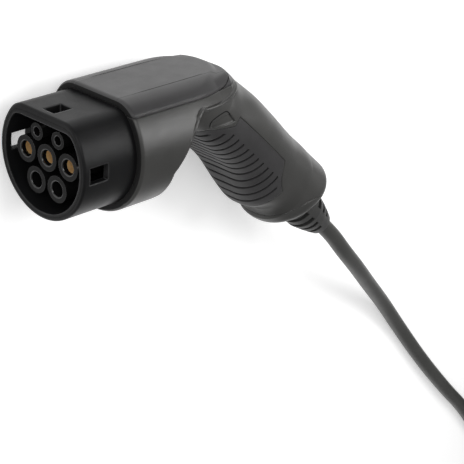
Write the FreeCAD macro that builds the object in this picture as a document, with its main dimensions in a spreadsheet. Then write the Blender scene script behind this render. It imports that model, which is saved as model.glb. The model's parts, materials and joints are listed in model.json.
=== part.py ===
import FreeCAD, Part

"""Vehicle charging cable: a seven-position connector with a pistol handle, its cable, and the plug at the far end.

The connector lies on its side, as it comes to rest. The origin is the centre of its mating face.
+X runs back along the mating axis, +Y points to the flat of the face and +Z is up. All sizes are in millimetres.
"""

import math
import os
import re

import Sketcher
from FreeCAD import Placement, Rotation, Vector

SIZES = {
    # face and nose
    "shroud_radius": 28.0,
    "shroud_flat": 21.65,
    "shroud_corner": 10.0,
    "shroud_wall": 3.2,
    "shroud_flat_wall": 4.75,
    "shroud_inner_flat": "=shroud_flat - shroud_flat_wall",
    "shroud_inner_corner": "=shroud_corner - 3.0",
    "shroud_round": 1.1,
    "window_start": 3.4,
    "window_length": 10.4,
    "window_width": 7.8,
    "sleeve_front": 2.9,
    "contact_pitch": 13.9,
    "lower_row": 12.6,
    "upper_row": 10.2,
    "power_sleeve_radius": 6.2,
    "power_mouth_radius": 4.1,
    "signal_sleeve_radius": 4.0,
    "signal_mouth_radius": 2.4,
    "cavity_floor": 32.0,
    "blank_depth": 33.0,
    "carrier_flange": 3.0,
    # contacts
    "power_bore": 3.0,
    "power_bore_depth": 24.0,
    "power_recess": 2.2,
    "power_outer": 4.0,
    "signal_bore": 1.5,
    "signal_recess": 5.0,
    "signal_bore_depth": 18.0,
    "signal_outer": 2.3,
    "contact_collar": 1.2,
    "contact_flange": 1.5,
    "crimp_length": 9.0,
    "crimp_wall": 0.9,
    # head
    "collar_front": 30.25,
    "collar_step": 3.8,
    "collar_flat_step": 3.55,
    "collar_radius": "=shroud_radius + collar_step",
    "collar_flat": "=shroud_flat + collar_flat_step",
    "collar_corner": "=shroud_corner + 4.0",
    "collar_round": 1.6,
    "collar_wall": 2.4,
    "front_lip": 3.0,
    "gasket_thickness": 1.2,
    "flange_thickness": 3.5,
    "retainer_thickness": 4.0,
    "part_gap": 0.1,
    "screw_gap": 0.05,
    "ledge": 2.4,
    "room_end": "=chin_start - 1.5",
    "screw_radius": 1.0,
    "screw_head_radius": 1.9,
    "screw_head_height": 1.4,
    "screw_circle": "=collar_radius - collar_wall - 2.3",
    "screw_angle": 60.0,
    "dome_start": 68.0,
    "dome_length": 48.0,
    "neck_step": 1.5,
    "neck_dome_extra": 30.0,
    "chin_start": "=rim_front + 2.0",
    "chin_length": 22.5,
    "chin_end_radius": 17.0,
    "chin_tip_radius": 9.0,
    "chin_tip": 4.0,
    "seam_below": 6.2,
    "seam_height": "=collar_flat - seam_below",
    "seam_gap": 0.25,
    "seam_depth": 0.8,
    "rim_front": 52.0,
    "rim_corner": 10.5,
    "band_below": 3.8,
    "band_height": "=seam_height - band_below",
    # handle
    "handle_angle": 40.9,
    "elbow_start": 99.1,
    "root_station": 3.0,
    "root_blend": 24.0,
    "neck_length": 46.0,
    "neck_flare": 2.6,
    "root_depth": 34.6,
    "palm_depth": 43.0,
    "palm_start": 40.5,
    "palm_end": 75.0,
    "root_half_width": 26.2,
    "palm_half_width": 21.2,
    "slim_start": 16.0,
    "slim_end": 92.0,
    "root_back_round": 25.5,
    "grip_back_round": 17.0,
    "palm_back_round": 19.5,
    "root_front_round": 15.0,
    "palm_front_round": 20.5,
    "handle_wall": 3.0,
    "grip_thickness": 2.4,
    "grip_edge": 16.8,
    "grip_shoulder": 12.5,
    "grip_top": -1.9,
    "groove_margin": 1.8,
    "groove_count": 14,
    "groove_pitch": 5.45,
    "groove_width": 1.5,
    "groove_depth": 1.1,
    "last_groove": 75.0,
    "groove_top": 24.8,
    "recess_depth": 0.6,
    "end_back": 121.0,
    "end_tilt": 26.5,
    "end_round": 8.0,
    "handle_room_end": 98.5,
    "cap_seam_radius": 33.3,
    "cap_seam_station": 123.8,
    "cap_seam_depth": 45.0,
    # cable exit
    "cable_diameter": 9.0,
    "exit_depth": 22.5,
    "boot_tip": 144.5,
    "boot_root_radius": 11.4,
    "boot_tip_radius": 6.2,
    "boot_shoulder": 101.5,
    "boot_neck_radius": 9.6,
    "boot_flange_radius": 12.6,
    "boot_flange": 3.0,
    "boot_slot_width": 2.9,
    "boot_slot_pitch": 6.4,
    "boot_slot_start": 115.6,
    "boot_slot_count": 4,
    "boot_slot_floor": 6.6,
    "boot_spine": 2.9,
    "clamp_thickness": 4.0,
    "clamp_radius": 14.6,
    "clamp_screw_offset": 11.2,
    "clamp_screw_length": 12.0,
    "jacket_start": 76.0,
    "jacket_gap": 0.05,
    "wire_radius": 1.6,
    "pilot_wire_radius": 0.8,
    "wire_gather": 31.0,
    "wire_lift": 8.5,
    "wire_root": 32.0,
    # stored cable
    "coil_radius": 54.0,
    "coil_width": 36.0,
    "coil_round": 7.0,
    "coil_lead": 42.0,
    "plug_lead": 44.0,
    "tie_thickness": 1.2,
    "tie_width": 16.0,
    "pin_tip": 8.0,
    "signal_pin_tip": 13.0,
    "pin_collar": 1.2,
}

ROUTE = [
    (217.5, -110.6, -0.9),
    (237.0, -128.9, -5.3),
    (262.0, -151.4, -14.5),
    (288.0, -175.0, -22.5),
    (314.0, -203.0, -27.3),
    (343.1, -237.4, -27.3),
    (376.0, -272.5, -27.3),
    (396.1, -292.0, -27.3),
    (414.1, -313.4, -27.3),
]

DOC = FreeCAD.newDocument("charging_cable")
SHEET = DOC.addObject("Spreadsheet::Sheet", "Sizes")
for row, alias in enumerate(SIZES, start=1):
    SHEET.set("A%d" % row, alias)
    SHEET.setAlias("B%d" % row, alias)
for row, size in enumerate(SIZES.values(), start=1):
    SHEET.set("B%d" % row, str(size))
DOC.recompute()

NODES = []


def size(alias):
    """A driving size, read from the sheet."""
    return float(getattr(SHEET, alias))


def words(formula):
    """A formula in plain words, with each size pointed at its cell."""
    return re.sub(r"[a-z][a-z_]+", lambda found: "Sizes." + found.group() if found.group() in SIZES else found.group(), formula)


def value(formula):
    """What a formula comes to at the present sizes."""
    return float(SHEET.evalExpression(words(formula)))


def bind(item, formulas):
    """Tie the properties of an object to formulas of the sizes."""
    for path, formula in formulas.items():
        item.setExpression(path, words(formula))


def grip_x(station, depth):
    """World X of a point given along the handle and in from its back line."""
    return "elbow_start + (%s) * cos(handle_angle) - (%s) * sin(handle_angle)" % (station, depth)


def grip_y(station, depth):
    """World Y of the same point."""
    return "collar_flat - (%s) * sin(handle_angle) - (%s) * cos(handle_angle)" % (station, depth)


def set_in_handle(item, station="0", depth="0", across="0"):
    """Place an object in the handle's frame: X along the handle, Y out of its back, Z across."""
    item.Placement = Placement(Vector(0, 0, 0), Rotation(Vector(0, 0, -1), 30))
    bind(item, {
        "Placement.Rotation.Angle": "handle_angle",
        "Placement.Base.x": grip_x(station, depth),
        "Placement.Base.y": grip_y(station, depth),
        "Placement.Base.z": across,
    })


def handle_frame():
    """The handle's frame at the present sizes."""
    base = Vector(value("elbow_start"), value("collar_flat"), 0)
    return Placement(base, Rotation(Vector(0, 0, 1), -value("handle_angle")))


def drawing(body, role, name):
    """A sketch on one of the body's own origin planes."""
    sketch = body.newObject("Sketcher::SketchObject", name)
    plane = [item for item in body.Origin.OriginFeatures if item.Role == role][0]
    sketch.AttachmentSupport = [(plane, "")]
    sketch.MapMode = "FlatFace"
    return sketch


def draw_corners(sketch, corners):
    """A closed outline whose corners are given as pairs of formulas."""
    spots = [(value(first), value(second)) for first, second in corners]
    for index, spot in enumerate(spots):
        following = spots[(index + 1) % len(spots)]
        sketch.addGeometry(Part.LineSegment(Vector(spot[0], spot[1], 0), Vector(following[0], following[1], 0)))
    for index in range(len(spots)):
        sketch.addConstraint(Sketcher.Constraint("Coincident", index, 2, (index + 1) % len(spots), 1))
    for index, (first, second) in enumerate(corners):
        for kind, axis, formula, number in (("X", -2, first, 0), ("Y", -1, second, 1)):
            if formula == "0":
                sketch.addConstraint(Sketcher.Constraint("PointOnObject", index, 1, axis))
                continue
            place = sketch.addConstraint(Sketcher.Constraint("Distance" + kind, -1, 1, index, 1, spots[index][number]))
            label = "corner_%s%d" % (kind.lower(), index)
            sketch.renameConstraint(place, label)
            bind(sketch, {"Constraints." + label: formula})


def turned(name, profile, x="0", y="0", z="0", in_handle=False):
    """A body turned about its own X axis from corners of (distance along, radius)."""
    body = DOC.addObject("PartDesign::Body", name)
    sketch = drawing(body, "XY_Plane", name + "_profile")
    draw_corners(sketch, profile)
    turn = body.newObject("PartDesign::Revolution", name + "_turn")
    turn.Profile = (sketch, [""])
    turn.ReferenceAxis = (sketch, ["H_Axis"])
    turn.Angle = 360
    if in_handle:
        set_in_handle(body, x, y, z)
    else:
        bind(body, {"Placement.Base.x": x, "Placement.Base.y": y, "Placement.Base.z": z})
    return body


def rod(name, radius, length, x="0", y="0", z="0", in_handle=False):
    """A plain round bar."""
    return turned(name, [("0", "0"), ("0", radius), (length, radius), (length, "0")], x, y, z, in_handle)


def ring(name, inner, outer, length, x="0", y="0", z="0", in_handle=False):
    """A plain round tube."""
    return turned(name, [("0", inner), ("0", outer), (length, outer), (length, inner)], x, y, z, in_handle)


def slab(name, corners, half, in_handle=False):
    """A straight-sided outline made thick to both sides of the Z = 0 plane."""
    body = DOC.addObject("PartDesign::Body", name)
    sketch = drawing(body, "XY_Plane", name + "_outline")
    draw_corners(sketch, corners)
    bind(sketch, {"AttachmentOffset.Base.z": "-(%s)" % half})
    pad = body.newObject("PartDesign::Pad", name + "_pad")
    pad.Profile = (sketch, [""])
    bind(pad, {"Length": "2 * (%s)" % half})
    if in_handle:
        set_in_handle(body)
    return body


def block(name, x, y, z):
    """A box between pairs of formulas."""
    item = DOC.addObject("Part::Box", name)
    bind(item, {
        "Length": "(%s) - (%s)" % (x[1], x[0]),
        "Width": "(%s) - (%s)" % (y[1], y[0]),
        "Height": "(%s) - (%s)" % (z[1], z[0]),
        "Placement.Base.x": x[0],
        "Placement.Base.y": y[0],
        "Placement.Base.z": z[0],
    })
    return item


def face_prism(name, radius, flat, corner, start, end, front_round=None):
    """A round bar with one flat and two rounded corners, the outline of the face, along X."""
    body = DOC.addObject("PartDesign::Body", name)
    sketch = drawing(body, "YZ_Plane", name + "_outline")
    bind(sketch, {"AttachmentOffset.Base.z": start})
    big, level, small = value(radius), value(flat), value(corner)
    middle = level - small
    aside = math.sqrt((big - small) ** 2 - middle ** 2)
    turn = math.atan2(aside, middle)
    upright = Vector(0, 0, 1)
    sketch.addGeometry(Part.ArcOfCircle(Part.Circle(Vector(0, 0, 0), upright, big), turn, 2 * math.pi - turn))
    sketch.addGeometry(Part.ArcOfCircle(Part.Circle(Vector(middle, -aside, 0), upright, small), -turn, 0))
    sketch.addGeometry(Part.LineSegment(Vector(level, -aside, 0), Vector(level, aside, 0)))
    sketch.addGeometry(Part.ArcOfCircle(Part.Circle(Vector(middle, aside, 0), upright, small), 0, turn))
    for rule in (
        ("Coincident", 0, 3, -1, 1),
        ("Tangent", 0, 2, 1, 1),
        ("Tangent", 1, 2, 2, 1),
        ("Tangent", 2, 2, 3, 1),
        ("Tangent", 3, 2, 0, 1),
        ("Vertical", 2),
        ("Equal", 1, 3),
    ):
        sketch.addConstraint(Sketcher.Constraint(*rule))
    for label, rule, formula in (
        ("radius", ("Radius", 0, big), radius),
        ("corner", ("Radius", 1, small), corner),
        ("flat", ("DistanceX", -1, 1, 2, 1, level), flat),
    ):
        sketch.renameConstraint(sketch.addConstraint(Sketcher.Constraint(*rule)), label)
        bind(sketch, {"Constraints." + label: formula})
    pad = body.newObject("PartDesign::Pad", name + "_pad")
    pad.Profile = (sketch, [""])
    bind(pad, {"Length": "(%s) - (%s)" % (end, start)})
    if front_round is not None:
        DOC.recompute()
        front = value(start)
        rim = ["Edge%d" % (index + 1) for index, edge in enumerate(pad.Shape.Edges)
               if all(abs(vertex.X - front) < 0.001 for vertex in edge.Vertexes)]
        soft = body.newObject("PartDesign::Fillet", name + "_round")
        soft.Base = (pad, rim)
        bind(soft, {"Radius": front_round})
        body.Tip = soft
    return body


def cut(name, base, tools):
    """A base less its tools."""
    item = DOC.addObject("Part::Cut", name)
    item.Base = base
    item.Tool = tools[0] if len(tools) == 1 else fuse(name + "_tools", tools)
    return item


def fuse(name, items):
    """Several shapes joined."""
    item = DOC.addObject("Part::MultiFuse", name)
    item.Shapes = items
    return item


def common(name, items):
    """What several shapes share."""
    item = DOC.addObject("Part::MultiCommon", name)
    item.Shapes = items
    return item


def solid(name, shape, placement=None):
    """A shape made here from the sizes, kept as an object of the document."""
    item = DOC.addObject("Part::Feature", name)
    item.Shape = shape
    if placement is not None:
        item.Placement = placement
    return item


def piece(item, node):
    """Mark an object as one physical piece of the product."""
    item.Label = node
    NODES.append(item)
    return item


# handle form
def ease(station, start, end):
    """A smooth step from 0 to 1 between two stations."""
    share = min(1.0, max(0.0, (station - start) / (end - start)))
    return share * share * (3 - 2 * share)


def handle_section(station, inset=0.0, widen=0.0):
    """The handle's outline across its axis: a flat back, a flat front and four rounded corners."""
    swell = ease(station, size("palm_start"), size("palm_end"))
    slim = ease(station, size("slim_start"), size("slim_end"))
    turn = ease(station, size("root_station"), size("root_station") + size("root_blend"))
    depth = size("root_depth") + (size("palm_depth") - size("root_depth")) * swell
    half = size("root_half_width") + (size("palm_half_width") - size("root_half_width")) * slim + widen
    back = size("root_back_round") + (size("grip_back_round") - size("root_back_round")) * turn
    back = back + (size("palm_back_round") - size("grip_back_round")) * swell
    front = size("root_front_round") + (size("palm_front_round") - size("root_front_round")) * swell
    back = min(back, half - 0.3, 0.6 * depth) - inset
    front = min(front, half - 0.3, 0.95 * depth - back - inset) - inset
    low = -inset
    deep = -depth + inset
    half = half - inset
    lean = math.sqrt(0.5)

    def spot(y, z):
        return Vector(station, y, -z)

    edges = []
    edges.append(Part.LineSegment(spot(low, -(half - back)), spot(low, half - back)))
    middle = spot(low - back * (1 - lean), half - back * (1 - lean))
    edges.append(Part.Arc(spot(low, half - back), middle, spot(low - back, half)))
    edges.append(Part.LineSegment(spot(low - back, half), spot(deep + front, half)))
    middle = spot(deep + front * (1 - lean), half - front * (1 - lean))
    edges.append(Part.Arc(spot(deep + front, half), middle, spot(deep, half - front)))
    edges.append(Part.LineSegment(spot(deep, half - front), spot(deep, -(half - front))))
    middle = spot(deep + front * (1 - lean), -(half - front * (1 - lean)))
    edges.append(Part.Arc(spot(deep, -(half - front)), middle, spot(deep + front, -half)))
    edges.append(Part.LineSegment(spot(deep + front, -half), spot(low - back, -half)))
    middle = spot(low - back * (1 - lean), -(half - back * (1 - lean)))
    edges.append(Part.Arc(spot(low - back, -half), middle, spot(low, -(half - back))))
    return Part.Wire([edge.toShape() for edge in edges])


def handle_loft(stations, inset=0.0):
    """The handle's form through sections at the given stations."""
    return Part.makeLoft([handle_section(station, inset) for station in stations], True, False)


def neck_loft(inset=0.0):
    """The handle's form carried back into the head, a little wider as it goes."""
    root = size("root_station")
    back = root - size("neck_length")
    return Part.makeLoft([handle_section(back, inset, size("neck_flare")), handle_section(root, inset)], True, True)


def handle_stations():
    """Stations from the root to where the section stays the same, closer where the palm swells."""
    root = size("root_station")
    first = size("palm_start")
    last = size("palm_end")
    marks = [root + size("root_blend") * share for share in (0.0, 0.33, 0.67, 1.0)]
    marks += [first + (last - first) * share for share in (0.0, 0.2, 0.4, 0.6, 0.8, 1.0)]
    kept = []
    for mark in sorted(marks):
        if mark < size("slim_end") - 4 and (not kept or mark - kept[-1] > 4):
            kept.append(mark)
    return kept + [size("slim_end")]


def handle_stock(end, inset=0.0):
    """The handle's form from its root, straight from where its section stays the same."""
    straight = size("slim_end")
    face = Part.Face(handle_section(straight, inset))
    return [handle_loft(handle_stations(), inset), face.extrude(Vector(end - straight, 0, 0))]


# head, neck and handle as one outer form
def head_form(name, inset, start, dome_extra="0", front_round=None):
    """The head: a flat-topped barrel that closes in a long dome."""
    radius = "collar_radius - (%s)" % inset
    flat = "collar_flat - (%s)" % inset
    corner = "collar_corner - (%s)" % inset
    front = face_prism(name + "_front", radius, flat, corner, start, "dome_start", front_round)
    rear = face_prism(name + "_rear", radius, flat, corner, "dome_start", "dome_start + dome_length")
    long_side = value("dome_length - (%s) + (%s)" % (inset, dome_extra))
    short_side = value(radius)
    middle = Vector(value("dome_start"), 0, 0)
    oval = Part.Ellipse(middle + Vector(long_side, 0, 0), middle + Vector(0, short_side, 0), middle)
    quarter = Part.Arc(oval, 0, math.pi / 2).toShape()
    down = Part.LineSegment(middle + Vector(0, short_side, 0), middle).toShape()
    along = Part.LineSegment(middle, middle + Vector(long_side, 0, 0)).toShape()
    face = Part.Face(Part.Wire([quarter, down, along]))
    dome = solid(name + "_dome", face.revolve(middle, Vector(1, 0, 0), 360))
    return fuse(name, [front, common(name + "_end", [rear, dome])])


# the helmet: everything in front of the rim and above the band
rim_region = slab("rim_region", [
    ("rim_front", "-60"),
    ("rim_front", "-rim_corner"),
    ("rim_front + 4.5", "-3.5"),
    ("rim_front + 9.5", "4.5"),
    ("rim_front + 13.6", "11.0"),
    ("rim_front + 16.6", "band_height - 1.2"),
    ("rim_front + 20", "band_height"),
    ("150", "band_height"),
    ("150", "-60"),
], "40")
head = head_form("head", "0", "collar_front", front_round="collar_round")
helmet = cut("helmet", head, [rim_region])

# the neck under the helmet, and the chin that closes the barrel below it
inner_head = head_form("inner_head", "neck_step", "collar_front + 3", "neck_dome_extra")
neck_bar = solid("neck_bar", neck_loft(), handle_frame())
neck = common("neck", [inner_head, neck_bar])
chin_cone = turned("chin_cone", [
    ("rim_front - 8", "0"),
    ("rim_front - 8", "collar_radius"),
    ("chin_start", "collar_radius"),
    ("chin_start", "collar_radius - neck_step"),
    ("chin_start + chin_length", "chin_end_radius"),
    ("chin_start + chin_length + chin_tip", "chin_tip_radius"),
    ("chin_start + chin_length + chin_tip", "0"),
])
chin = common("chin", [inner_head, chin_cone])

# the handle
def end_block():
    """What lies before the handle's slanted end, in the handle's frame."""
    slope = math.tan(math.radians(size("end_tilt")))
    back = size("end_back")
    corners = [(-100, -80), (back - 80 * slope, -80), (back + 30 * slope, 30), (-100, 30)]
    points = [Vector(x, y, -60) for x, y in corners]
    return Part.Face(Part.makePolygon(points + points[:1])).extrude(Vector(0, 0, 120))


def ended(bar, radius):
    """A bar closed by the slanted end, its rim rounded."""
    slope = math.tan(math.radians(size("end_tilt")))
    closed = bar.common(end_block())
    rim = []
    for edge in closed.Edges:
        spots = [vertex.Point for vertex in edge.Vertexes]
        spots.append(edge.valueAt((edge.FirstParameter + edge.LastParameter) / 2))
        if all(abs(spot.x - size("end_back") - spot.y * slope) < 0.01 for spot in spots):
            rim.append(edge)
    return closed.makeFillet(radius, rim)


palm, tail = handle_stock(size("end_back") + 12)
handle_shape = palm.fuse(ended(tail, size("end_round")))
handle_bar = solid("handle_bar", handle_shape, handle_frame())
outer = fuse("outer", [helmet, neck, chin, handle_bar])

# stations along the nose stack
FLANGE_FRONT = "collar_front + front_lip + gasket_thickness"
FLANGE_BACK = FLANGE_FRONT + " + flange_thickness"
CARRIER_BACK = FLANGE_BACK + " + carrier_flange"
RETAINER_BACK = CARRIER_BACK + " + retainer_thickness"


def stack_prism(name, start, end, less="0"):
    """A plate of the nose stack, clear of the collar's inside."""
    radius = "collar_radius - collar_wall - part_gap - (%s)" % less
    flat = "collar_flat - collar_wall - part_gap - (%s)" % less
    corner = "collar_corner - collar_wall - part_gap - (%s)" % less
    return face_prism(name, radius, flat, corner, start, end)


def shroud_prism(name, start, end, more="0", front_round=None):
    """The shroud's outline, grown by a little."""
    radius = "shroud_radius + (%s)" % more
    flat = "shroud_flat + (%s)" % more
    corner = "shroud_corner + (%s)" % more
    return face_prism(name, radius, flat, corner, start, end, front_round)


# rooms inside the head and handle
module_room = stack_prism("module_room", "collar_front + front_lip", RETAINER_BACK, "-part_gap")
nose_hole = shroud_prism("nose_hole", "collar_front - 2", "collar_front + front_lip + 1", "part_gap")
ledge_room = stack_prism("ledge_room", RETAINER_BACK + " - 1", "room_end", "ledge - part_gap")
deep_head = head_form("deep_head", "neck_step + handle_wall", RETAINER_BACK, "neck_dome_extra")
deep_neck = solid("deep_neck", neck_loft(size("handle_wall")), handle_frame())
neck_room = common("neck_room", [deep_head, deep_neck])
chin_hollow = turned("chin_hollow", [
    (RETAINER_BACK + " - 1", "0"),
    (RETAINER_BACK + " - 1", "collar_radius - neck_step - handle_wall"),
    ("chin_start - 0.3 * handle_wall", "collar_radius - neck_step - handle_wall"),
    ("chin_start + chin_length", "chin_end_radius - 1.2 * handle_wall"),
    ("chin_start + chin_length + 0.3 * chin_tip", "0.6 * chin_tip_radius"),
    ("chin_start + chin_length + 0.3 * chin_tip", "0"),
])
chin_room = common("chin_room", [deep_head, chin_hollow])
room_parts = handle_stock(size("handle_room_end"), size("handle_wall"))
handle_room = solid("handle_room", room_parts[0].fuse(room_parts[1]), handle_frame())
shell = cut("shell", outer, [module_room, nose_hole, ledge_room, neck_room, chin_room, handle_room])

# cable exit and its holes
neck_hole = rod("neck_hole", "boot_neck_radius + part_gap", "60", "handle_room_end - 2", "exit_depth", "0", True)
body_hole = rod("body_hole", "boot_root_radius + part_gap", "60", "boot_shoulder", "exit_depth", "0", True)
clamp_holes = []
for number, side in enumerate(("-clamp_screw_offset", "clamp_screw_offset"), start=1):
    clamp_holes.append(rod("clamp_hole_%d" % number, "screw_radius + screw_gap", "clamp_screw_length + 0.4",
                           "handle_room_end - boot_flange - clamp_thickness", "exit_depth", side, True))
exit_shell = cut("exit_shell", shell, [neck_hole, body_hole] + clamp_holes)

# top cover, end cap and housing come from the same shell
cover_zone = block("cover_zone", ("0", "160"), ("seam_height", "seam_height + 60"), ("-60", "60"))
seam_zone = block("seam_zone", ("0", "160"), ("seam_height - 1", "seam_height + seam_gap"), ("-60", "60"))
seam_core = head_form("seam_core", "seam_depth", "collar_front + seam_depth", front_round="collar_round")
seam_groove = cut("seam_groove", seam_zone, [seam_core])
top_cover = piece(cut("top_cover", common("cover_half", [shell, cover_zone]), [seam_groove]), "top_cover")


def cap_zone(name, more):
    """The round boundary between the end cap and the handle."""
    item = DOC.addObject("Part::Cylinder", name)
    set_in_handle(item, "cap_seam_station", "cap_seam_depth", "-60")
    bind(item, {"Radius": "cap_seam_radius + (%s)" % more, "Height": "120"})
    return item


end_cap = piece(common("end_cap", [exit_shell, cap_zone("cap_zone", "0")]), "end_cap")


def grip_zone(name, more):
    """The side outline of the soft grip, grown by a little."""
    return slab(name, [
        ("grip_top - 1.6 - (%s)" % more, "-80"),
        ("last_groove + (%s)" % more, "-80"),
        ("last_groove + (%s)" % more, "-28.5 + (%s)" % more),
        ("71 + (%s)" % more, "-27 + (%s)" % more),
        ("67 + (%s)" % more, "-24 + (%s)" % more),
        ("62 + (%s)" % more, "-grip_edge + (%s)" % more),
        ("grip_shoulder - (%s)" % more, "-grip_edge + (%s)" % more),
        ("grip_shoulder - (%s)" % more, "-grip_edge - 4.9 + (%s)" % more),
        ("grip_top + 2 - (%s)" % more, "-31.7 + (%s)" % more),
        ("grip_top - (%s)" % more, "-37 + (%s)" % more),
    ], "60", True)


def grip_form(name, inset):
    """The handle and the neck's front, where the grip lies, sunk by an inset."""
    bar = solid(name + "_bar", handle_loft(handle_stations(), inset), handle_frame())
    front = solid(name + "_front", neck_loft(inset), handle_frame())
    return fuse(name, [bar, front])


grip_floor = grip_form("grip_floor", size("grip_thickness"))
grip_pocket = cut("grip_pocket", grip_zone("pocket_zone", "seam_gap"), [grip_floor])
recess_zone = slab("recess_zone", [("4", "-18.9"), ("10.3", "-19.7"), ("0.8", "-29.2"), ("-2.9", "-27.4")], "60", True)
recess_floor = grip_form("recess_floor", size("recess_depth"))
side_recess = cut("side_recess", recess_zone, [recess_floor])
main_housing = piece(
    cut("main_housing", exit_shell, [cover_zone, cap_zone("cap_clearance", "seam_gap"), grip_pocket, side_recess]),
    "main_housing")

grip_surface = grip_form("grip_surface", 0.0)
grip_band = cut("grip_band", common("grip_stock", [grip_surface, grip_zone("grip_outline", "0")]), [grip_floor])
grooves = []
for number in range(int(size("groove_count"))):
    box = DOC.addObject("Part::Box", "groove_%d" % (number + 1))
    set_in_handle(box, "last_groove - (%d + 1) * groove_pitch - groove_width / 2" % number, "80", "-60")
    bind(box, {"Length": "groove_width", "Width": "80 - groove_top", "Height": "120"})
    grooves.append(box)
groove_floor = grip_form("groove_floor", size("groove_depth"))
groove_zone = common("groove_zone", [fuse("groove_boxes", grooves), grip_zone("groove_limit", "-groove_margin")])
groove_rings = cut("groove_rings", groove_zone, [groove_floor])
grip_insert = piece(cut("grip_insert", grip_band, [groove_rings]), "grip_insert")

# shroud
shroud_body = shroud_prism("shroud_body", "0", FLANGE_BACK, "0", "shroud_round")
shroud_flange = stack_prism("shroud_flange", FLANGE_FRONT, FLANGE_BACK)
shroud_room = face_prism("shroud_room", "shroud_radius - shroud_wall", "shroud_inner_flat", "shroud_inner_corner",
                         "-1", FLANGE_BACK + " + 1")
WINDOW = ("window_start", "window_start + window_length")
HALF_WINDOW = ("-window_width / 2", "window_width / 2")
top_window = block("top_window", WINDOW, ("shroud_inner_flat - 2", "shroud_flat + 2"), HALF_WINDOW)
near_window = block("near_window", WINDOW, HALF_WINDOW, ("shroud_radius - shroud_wall - 2", "shroud_radius + 2"))
far_window = block("far_window", WINDOW, HALF_WINDOW, ("-shroud_radius - 2", "-shroud_radius + shroud_wall + 2"))

SCREWS = {
    "upper_near": ("1", "1"),
    "upper_far": ("1", "-1"),
    "lower_near": ("-1", "1"),
    "lower_far": ("-1", "-1"),
}


def screw_spot(label):
    """World Y and Z of a face screw."""
    up, side = SCREWS[label]
    return "%s * screw_circle * cos(screw_angle)" % up, "%s * screw_circle * sin(screw_angle)" % side


screw_holes = []
screw_seats = []
for label in SCREWS:
    y, z = screw_spot(label)
    screw_holes.append(rod("hole_" + label, "screw_radius + screw_gap", RETAINER_BACK + " - (%s) + 1 - 0.4" % FLANGE_FRONT,
                           FLANGE_FRONT + " + 0.4", y, z))
    screw_seats.append(rod("seat_" + label, "screw_head_radius + part_gap", "screw_head_height + 1",
                           RETAINER_BACK + " - screw_head_height", y, z))
shroud = piece(
    cut("shroud", fuse("shroud_stock", [shroud_body, shroud_flange]),
        [shroud_room, top_window, near_window, far_window] + screw_holes), "shroud")

gasket_stock = stack_prism("gasket_stock", "collar_front + front_lip", FLANGE_FRONT)
gasket_hole = shroud_prism("gasket_hole", "collar_front", FLANGE_FRONT + " + 1", "part_gap")
face_gasket = piece(cut("face_gasket", gasket_stock, [gasket_hole]), "face_gasket")

# contact carrier
POWER = {
    "line": ("0", "-contact_pitch"),
    "earth": ("0", "0"),
    "neutral": ("0", "contact_pitch"),
}
BLANK = {
    "blank_far": ("-lower_row", "-contact_pitch / 2"),
    "blank_near": ("-lower_row", "contact_pitch / 2"),
}
SIGNAL = {
    "pilot": ("upper_row", "-contact_pitch / 2"),
    "proximity": ("upper_row", "contact_pitch / 2"),
}
carrier_base = face_prism(
    "carrier_base", "shroud_radius - shroud_wall - part_gap", "shroud_inner_flat - part_gap",
    "shroud_inner_corner - part_gap", "cavity_floor", FLANGE_BACK + " + 1")
carrier_plate = stack_prism("carrier_plate", FLANGE_BACK, CARRIER_BACK)
carrier_stock = [carrier_base, carrier_plate]
carrier_holes = list(screw_holes)
for table, sleeve, mouth, seat in (
    (POWER, "power_sleeve_radius", "power_mouth_radius", "power_outer + contact_collar"),
    (SIGNAL, "signal_sleeve_radius", "signal_mouth_radius", "signal_outer + contact_collar"),
    (BLANK, "power_sleeve_radius", "power_mouth_radius", None),
):
    for label, (y, z) in table.items():
        carrier_stock.append(rod("sleeve_" + label, sleeve, "cavity_floor - sleeve_front + 1", "sleeve_front", y, z))
        if seat is None:
            carrier_holes.append(rod("bore_" + label, mouth, "blank_depth + 1", "sleeve_front - 1", y, z))
            continue
        carrier_holes.append(rod("bore_" + label, mouth, "60", "sleeve_front - 1", y, z))
        carrier_holes.append(rod("seat_of_" + label, seat + " + part_gap", "contact_flange + 1",
                                 CARRIER_BACK + " - contact_flange", y, z))
contact_carrier = piece(cut("contact_carrier", fuse("carrier_stock", carrier_stock), carrier_holes), "contact_carrier")


def contact(label, recess, bore, depth, outer_radius, wire, y, z):
    """A turned socket contact: bore in front, flange in the carrier, crimp barrel behind the retainer."""
    start = "sleeve_front + " + recess
    flange = "%s - contact_flange - (%s)" % (CARRIER_BACK, start)
    back = "%s - (%s)" % (CARRIER_BACK, start)
    end = "%s + crimp_length - (%s)" % (RETAINER_BACK, start)
    crimp = wire + " + jacket_gap + crimp_wall"
    hole = wire + " + jacket_gap"
    inner_end = "%s - crimp_length + 1 " % end
    return piece(turned("contact_" + label, [
        ("0", bore),
        ("0", outer_radius),
        (flange, outer_radius),
        (flange, outer_radius + " + contact_collar"),
        (back, outer_radius + " + contact_collar"),
        (back, crimp),
        (end, crimp),
        (end, hole),
        (inner_end, hole),
        (inner_end, "0"),
        (depth, "0"),
        (depth, bore),
    ], start, y, z), "contact_" + label)


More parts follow.
